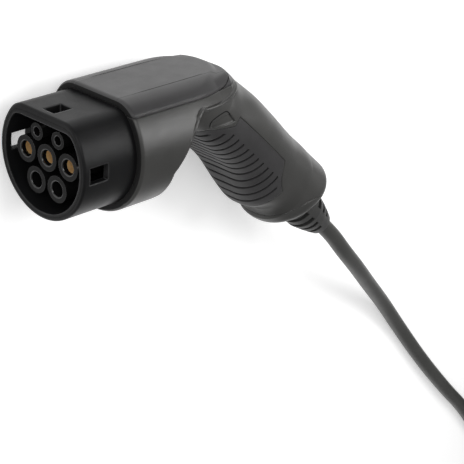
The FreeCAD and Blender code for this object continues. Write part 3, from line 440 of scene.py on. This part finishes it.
finishes = {
    # the shroud's paler edges reach over its rounded rim and windows: partly scuffs, partly
    # painted highlight
    "black_plastic": moulded_plastic(
        "shroud_black", dark=(0.0045, 0.0045, 0.0048), pale=(0.0085, 0.0085, 0.009),
        worn_and_highlight_tone=(0.11, 0.11, 0.112), roughness=0.38, reach=0.0011, shine=0.12),
    "carrier_plastic": moulded_plastic(
        "carrier_black", dark=grey(0.003), pale=grey(0.006), worn_and_highlight_tone=grey(0.12),
        roughness=0.2, grain=0.1, reach=0.0004, shine=0.1),
    # the housing and the cover get painted shade on their forward faces near the mating end
    "grey_plastic": moulded_plastic(
        "housing_grey", dark=(0.026, 0.0256, 0.0243), pale=(0.036, 0.0354, 0.0336),
        worn_and_highlight_tone=(0.085, 0.085, 0.082), roughness=0.38, painted_front_shade=COLLAR_FACE, softness=0.0012),
    "cover_plastic": moulded_plastic(
        "cover_grey", dark=(0.027, 0.0262, 0.027), pale=(0.036, 0.035, 0.036),
        worn_and_highlight_tone=(0.10, 0.098, 0.10), painted_front_shade=COLLAR_FACE, softness=0.0022),
    "ridge_plastic": moulded_plastic(
        "ridge_grey", dark=(0.026, 0.0257, 0.0245), pale=(0.036, 0.0355, 0.034),
        worn_and_highlight_tone=(0.085, 0.085, 0.082), roughness=0.34),
    "lip_plastic": moulded_plastic(
        "lip_black", dark=grey(0.003), pale=grey(0.006), worn_and_highlight_tone=grey(0.02),
        roughness=0.13, grain=0.05, shine=0.6),
    "seam_shadow": moulded_plastic(
        "seam_shadow", dark=grey(0.003), pale=grey(0.006), worn_and_highlight_tone=grey(0.01),
        roughness=0.7, shine=0.1),
    "grip_rubber": soft_rubber(
        "grip_rubber", dark=(0.022, 0.021, 0.022), pale=(0.032, 0.031, 0.032),
        worn_and_highlight_tone=grey(0.07), roughness=0.54, shine=0.28),
    "boot_rubber": soft_rubber(
        "boot_rubber", dark=(0.021, 0.021, 0.0205), pale=(0.031, 0.031, 0.030),
        worn_and_highlight_tone=grey(0.05), roughness=0.48),
    "cable_jacket": soft_rubber(
        "cable_jacket", dark=(0.033, 0.033, 0.031), pale=(0.043, 0.043, 0.040),
        worn_and_highlight_tone=(0.05, 0.05, 0.048), roughness=0.42, grain=0.15),
    "gold_contact": gold_plate("contact_gold"),
    "tie_fabric": woven_strap("tie_weave"),
    "steel": plated_steel("screw_steel"),
    "wire_brown": moulded_plastic(
        "wire_brown", dark=(0.12, 0.05, 0.02), pale=(0.17, 0.075, 0.03), worn_and_highlight_tone=(0.2, 0.1, 0.05)),
    "wire_blue": moulded_plastic(
        "wire_blue", dark=(0.02, 0.07, 0.32), pale=(0.03, 0.10, 0.42), worn_and_highlight_tone=(0.06, 0.15, 0.5)),
    "wire_green": moulded_plastic(
        "wire_green", dark=(0.07, 0.28, 0.04), pale=(0.30, 0.38, 0.05), worn_and_highlight_tone=(0.3, 0.4, 0.1)),
    "wire_black": moulded_plastic(
        "wire_black", dark=grey(0.015), pale=grey(0.03), worn_and_highlight_tone=grey(0.05)),
}
raised_panel(finishes["cover_plastic"], TOP_PANEL_HALF_WIDTH, PANEL_HEIGHT)
for entry in frame["record"]["subparts"]:
    mesh = nodes[entry["node"]].data
    mesh.materials.clear()
    is_carrier = entry["node"] == "contact_carrier"
    mesh.materials.append(finishes["carrier_plastic" if is_carrier else entry["material_slot"]])


# curves that the cable, the lines and the rings share
def add_spline(curve, points):
    """One smooth spline through control points."""
    spline = curve.splines.new("NURBS")
    spline.points.add(len(points) - 1)
    for control, point in zip(spline.points, points):
        control.co = (*point, 1.0)
    spline.order_u = 3
    spline.use_endpoint_u = True


def spline_mesh(points, steps):
    """A scratch mesh of the smooth line that control points give."""
    curve = bpy.data.curves.new("line_probe", "CURVE")
    curve.dimensions = "3D"
    curve.resolution_u = steps
    add_spline(curve, points)
    probe = bpy.data.objects.new("line_probe", curve)
    mesh = bpy.data.meshes.new_from_object(probe)
    bpy.data.objects.remove(probe)
    bpy.data.curves.remove(curve)
    return mesh


def thick_curve(name, radius, facets, finish):
    """An empty curve of round section with a finish."""
    curve = bpy.data.curves.new(name, "CURVE")
    curve.dimensions = "3D"
    curve.bevel_depth = radius
    curve.bevel_resolution = facets
    curve.materials.append(finishes[finish])
    return curve


def placed(curve):
    """A curve's object in the scene."""
    piece = bpy.data.objects.new(curve.name, curve)
    scene.collection.objects.link(piece)
    return piece


# cable
def coil_layout():
    """The coil's middle on the floor, where the lead meets it, and its outer turn's radius."""
    last = Vector(CABLE_ROUTE[-1])
    heading = last - Vector(CABLE_ROUTE[-2])
    heading.z = 0.0
    heading.normalize()
    sideways = Vector((-heading.y, heading.x, 0.0))
    outer = COIL_RADIUS + (TURNS_IN_A_LAYER - 1) * CABLE_RADIUS
    touch = last + heading * COIL_LEAD
    return touch + sideways * outer, touch, outer


def cable_points():
    """The route, the coil's turns layer by layer, and the straight lead to the plug."""
    centre, touch, outer = coil_layout()
    inner = COIL_RADIUS - (TURNS_IN_A_LAYER - 1) * CABLE_RADIUS
    points = [Vector(point) for point in CABLE_ROUTE]
    first = math.atan2(touch.y - centre.y, touch.x - centre.x)
    grown = 1.0 / math.cos(math.pi / POINTS_IN_A_TURN)
    step = 2 * math.pi / POINTS_IN_A_TURN
    full = TURNS_IN_A_LAYER * POINTS_IN_A_TURN
    count = int(COIL_LAYERS * full - (first % (2 * math.pi)) / step)
    for index in range(count + 1):
        layer = min(COIL_LAYERS - 1, index // full)
        share = (index - layer * full) / full
        if layer % 2 == 1:
            share = 1.0 - share
        wrapped = min(1.0, share * TURNS_IN_A_LAYER / TURNS_TO_THE_LAST_WRAP)
        radius = (outer + (inner - outer) * wrapped) * grown
        past = index - (layer + 1) * full + POINTS_TO_CLIMB
        climb = min(1.0, max(0.0, past / POINTS_TO_CLIMB))
        if layer == COIL_LAYERS - 1:
            climb = 0.0
        height = touch.z + (layer + climb) * 2 * CABLE_RADIUS
        turn = first + index * step
        offset = (radius * math.cos(turn), radius * math.sin(turn), height - centre.z)
        points.append(centre + Vector(offset))
    leaving = centre + Vector((outer, 0.0, -centre.z))
    points.append(leaving + Vector((0.0, PLUG_BEND, 0.0)))
    points.append(leaving + Vector((0.0, PLUG_LEAD, 0.0)))
    return points


def spline_length(points):
    """The length of the smooth line that control points give, by its own samples."""
    mesh = spline_mesh(points, SPLINE_STEPS)
    total = 0.0
    for edge in mesh.edges:
        start, end = edge.vertices
        total += (mesh.vertices[start].co - mesh.vertices[end].co).length
    bpy.data.meshes.remove(mesh)
    return total


def make_cable():
    """The free cable from the boot to the plug, on one smooth spline."""
    points = cable_points()
    curve = thick_curve("charging_cable", CABLE_RADIUS, CABLE_FACETS, "cable_jacket")
    curve.resolution_u = SPLINE_STEPS
    add_spline(curve, points)
    cable = placed(curve)
    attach(cable, "root")
    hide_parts("cable", "cable_coil")
    on_the_cable = [node for name, node in nodes.items() if name.startswith("plug_")]
    on_the_cable.append(nodes["coil_tie"])
    spline_length(points)


make_cable()


# lines laid on the housing and the cover
def surface_of(*names):
    """One search tree over the faces of some nodes."""
    corners, faces = [], []
    for name in names:
        mesh = nodes[name].data
        first = len(corners)
        corners.extend(vertex.co.copy() for vertex in mesh.vertices)
        faces.extend([first + corner for corner in face.vertices] for face in mesh.polygons)
    return BVHTree.FromPolygons(corners, faces)


def smooth_samples(points):
    """Places along the smooth line that control points give."""
    mesh = spline_mesh(points, LINE_STEPS)
    places = [vertex.co.copy() for vertex in mesh.vertices]
    bpy.data.meshes.remove(mesh)
    return places


def evened(vectors, rounds):
    """Vectors with each one between the ends moved towards the middle of its neighbours."""
    for _ in range(rounds):
        before = list(vectors)
        for index in range(1, len(vectors) - 1):
            vectors[index] = (before[index - 1] + before[index] * 2 + before[index + 1]) / 4
    return vectors


def laid_line(name, points, skin, radius, lift, finish):
    """A thin rounded line that follows the surface, its ends sinking into it."""
    curve = thick_curve(name, radius, LINE_FACETS, finish)
    curve.use_fill_caps = True
    samples = smooth_samples([Vector(point) / 1000.0 for point in points])
    hits = [skin.find_nearest(sample) for sample in samples]
    places = evened([hit[0] for hit in hits], PLACE_ROUNDS)
    normals = evened([hit[1] for hit in hits], NORMAL_ROUNDS)
    last = len(samples) - 1
    spline = curve.splines.new("POLY")
    spline.points.add(last)
    for index, (control, place, normal) in enumerate(zip(spline.points, places, normals)):
        risen = min(1.0, min(index, last - index) / SINKING_SAMPLES)
        height = lift * risen - radius * (1.0 - risen)
        control.co = (*(place + normal.normalized() * height), 1.0)
        control.radius = END_THICKNESS + (1.0 - END_THICKNESS) * risen
    line = placed(curve)
    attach(line, "root")


def far_side(points):
    """The same line on the far side."""
    return [(x, y, -z) for x, y, z in points]


def lay_lines():
    """The cover's end seam over the elbow, and the lines that both sides have."""
    skin = surface_of("main_housing", "top_cover")
    laid_line("cover_end_seam", COVER_END_SEAM + far_side(COVER_END_SEAM[-2::-1]), skin,
              END_SEAM_RADIUS, END_SEAM_LIFT, "seam_shadow")
    for side, mirrored in (("near", list), ("far", far_side)):
        for name, points, radius, lift, finish, slot in PAIRED_LINES:
            laid_line(name + "_" + side, mirrored(points), skin, radius, lift, finish)


lay_lines()


# rings at the mating face
def closed_rings(name, rings, finish):
    """Round-section rings, each through its own places and with its own thickness."""
    curve = thick_curve(name, RING_THICKNESS, RING_FACETS, finish)
    for places, radius in rings:
        spline = curve.splines.new("POLY")
        spline.points.add(len(places) - 1)
        for control, place in zip(spline.points, places):
            control.co = (*place, 1.0)
            control.radius = radius / RING_THICKNESS
        spline.use_cyclic_u = True
    piece = placed(curve)
    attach(piece, "root")


def directions(count):
    """Directions all round the mating axis."""
    for index in range(count):
        turn = 2 * math.pi * index / count
        yield Vector((0.0, math.cos(turn), math.sin(turn)))


def sleeve_lips():
    """The rounded lip in the mouth of each sleeve."""
    rings = []
    for up, across, bore in SLEEVE_BORES:
        lip = LIP_IN_A_BORE * bore
        middle = Vector((SLEEVE_FRONT + lip, up, across))
        places = [(middle + outward * bore) / 1000.0 for outward in directions(POINTS_IN_A_RING)]
        rings.append((places, lip / 1000.0))
    return rings


def rim_step(radius):
    """A fine line round the middle of the shroud's rim."""
    shroud = surface_of("shroud")
    middle = Vector((RIM_MEASURED_AT, 0.0, 0.0))
    front = Vector((RIM_MEASURED_AT - RIM_STEP_DEPTH * radius, 0.0, 0.0))
    places = []
    for outward in directions(POINTS_IN_THE_RIM):
        inner = shroud.ray_cast(middle, outward)[0]
        outer = shroud.ray_cast(middle + outward * PAST_THE_RIM, -outward)[0]
        places.append(inner.lerp(outer, RIM_STEP_SHARE) - front)
    return [(places, radius)]


closed_rings("sleeve_lips", sleeve_lips(), "lip_plastic")
closed_rings("rim_step", rim_step(RIM_STEP_RADIUS), "seam_shadow")


# floor and lights
def floor_white():
    """White that the camera and reflections see a little lifted."""
    material, tree, shader, _ = new_material("floor_white", 0.9)
    shader.inputs["Base Color"].default_value = (*grey(0.93), 1.0)
    shader.inputs["Specular IOR Level"].default_value = 0.1
    shader.inputs["Emission Color"].default_value = (1.0, 1.0, 1.0, 1.0)
    ray = tree.nodes.new("ShaderNodeLightPath")
    seen = ray.outputs["Is Camera Ray"]
    for kind in ("Is Glossy Ray", "Is Transmission Ray"):
        seen = reckoned(tree, "MAXIMUM", seen, ray.outputs[kind])
    lift = range_of(tree, seen, 0.0, FLOOR_LIFT)
    tree.links.new(lift, shader.inputs["Emission Strength"])
    return material


def make_floor():
    """A plain pale floor."""
    data = bpy.data.meshes.new("floor")
    shape = bmesh.new()
    bmesh.ops.create_grid(shape, x_segments=1, y_segments=1, size=FLOOR_SIZE)
    middle = (*FLOOR_MIDDLE, FLOOR_HEIGHT - FLOOR_GAP)
    bmesh.ops.translate(shape, verts=shape.verts, vec=middle)
    shape.to_mesh(data)
    shape.free()
    data.materials.append(floor_white())
    floor = bpy.data.objects.new("floor", data)
    scene.collection.objects.link(floor)


def make_lamp(name, place, target, width, energy):
    """A soft square lamp aimed at a point."""
    data = bpy.data.lights.new(name, "AREA")
    data.size = width
    data.energy = energy
    lamp = bpy.data.objects.new(name, data)
    aim = Vector(target) - Vector(place)
    turn = aim.to_track_quat("-Z", "Y").to_matrix().to_4x4()
    lamp.matrix_world = Matrix.Translation(place) @ turn
    scene.collection.objects.link(lamp)


def make_world():
    """Even white surroundings."""
    world = bpy.data.worlds.new("studio")
    world.use_nodes = True
    surroundings = world.node_tree.nodes["Background"]
    surroundings.inputs["Color"].default_value = (1.0, 1.0, 1.0, 1.0)
    surroundings.inputs["Strength"].default_value = WORLD_STRENGTH
    scene.world = world


make_floor()
for lamp in LAMPS:
    make_lamp(*lamp)
make_world()
